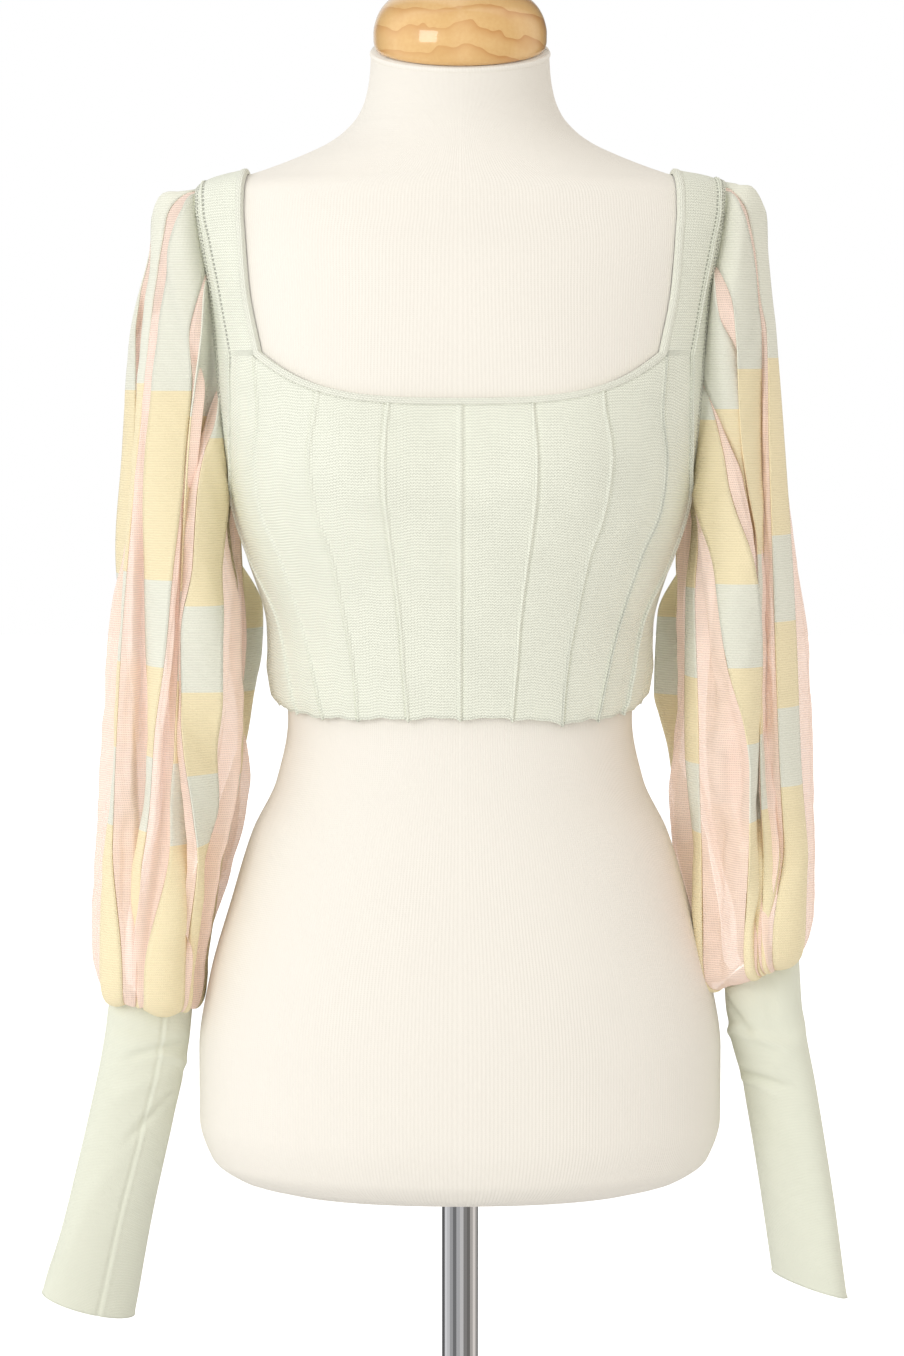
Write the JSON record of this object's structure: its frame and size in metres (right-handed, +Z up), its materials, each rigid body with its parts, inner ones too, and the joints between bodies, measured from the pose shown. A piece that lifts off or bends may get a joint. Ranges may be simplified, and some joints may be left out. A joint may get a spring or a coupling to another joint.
{
  "type": "sweater on dress form",
  "caption": "Cropped knit sweater with a wide scooped neck, panelled balloon sleeves with sheer pleats and long fitted cuffs, worn on a limbless dress form.",
  "frame": {"origin": "centre of the base plate's underside, on the surface the stand rests on", "axes": "+Z up along the pole, -Y the way the garment faces, +X to the viewer's right when looking at its front"},
  "size_m": [0.5286, 0.304, 1.1248],
  "materials": {
    "mint_knit": "fine knit, matte",
    "gore_knit": "fine knit in blocks of mint and pale yellow, matte",
    "sheer_knit": "sheer open knit, matte",
    "form_jersey": "finely ribbed jersey over padding, matte",
    "cap_pine": "lacquered pine, glossy",
    "pole_chrome": "polished",
    "base_metal": "satin"
  },
  "bodies": {
    "root": {"base_plate": "base_metal", "pole": "pole_chrome", "form_torso": "form_jersey", "neck_cap": "cap_pine", "front_body": "mint_knit", "back_body": "mint_knit", "neckband_front": "mint_knit", "neckband_back": "mint_knit", "neck_edge_left": "mint_knit", "neck_edge_right": "mint_knit", "sleeve_left_gore_top": "gore_knit", "sleeve_left_gore_front_high": "gore_knit", "sleeve_left_gore_front_mid": "gore_knit", "sleeve_left_gore_front_low": "gore_knit", "sleeve_left_gore_underarm": "gore_knit", "sleeve_left_gore_back_low": "gore_knit", "sleeve_left_gore_back_mid": "gore_knit", "sleeve_left_gore_back_high": "gore_knit", "sleeve_left_insert_1": "sheer_knit", "sleeve_left_insert_2": "sheer_knit", "sleeve_left_insert_3": "sheer_knit", "sleeve_left_insert_4": "sheer_knit", "sleeve_left_insert_5": "sheer_knit", "sleeve_left_insert_6": "sheer_knit", "sleeve_left_insert_7": "sheer_knit", "sleeve_left_insert_8": "sheer_knit", "cuff_left": "mint_knit", "sleeve_right_gore_top": "gore_knit", "sleeve_right_gore_front_high": "gore_knit", "sleeve_right_gore_front_mid": "gore_knit", "sleeve_right_gore_front_low": "gore_knit", "sleeve_right_gore_underarm": "gore_knit", "sleeve_right_gore_back_low": "gore_knit", "sleeve_right_gore_back_mid": "gore_knit", "sleeve_right_gore_back_high": "gore_knit", "sleeve_right_insert_1": "sheer_knit", "sleeve_right_insert_2": "sheer_knit", "sleeve_right_insert_3": "sheer_knit", "sleeve_right_insert_4": "sheer_knit", "sleeve_right_insert_5": "sheer_knit", "sleeve_right_insert_6": "sheer_knit", "sleeve_right_insert_7": "sheer_knit", "sleeve_right_insert_8": "sheer_knit", "cuff_right": "mint_knit"}
  },
  "joints": []
}
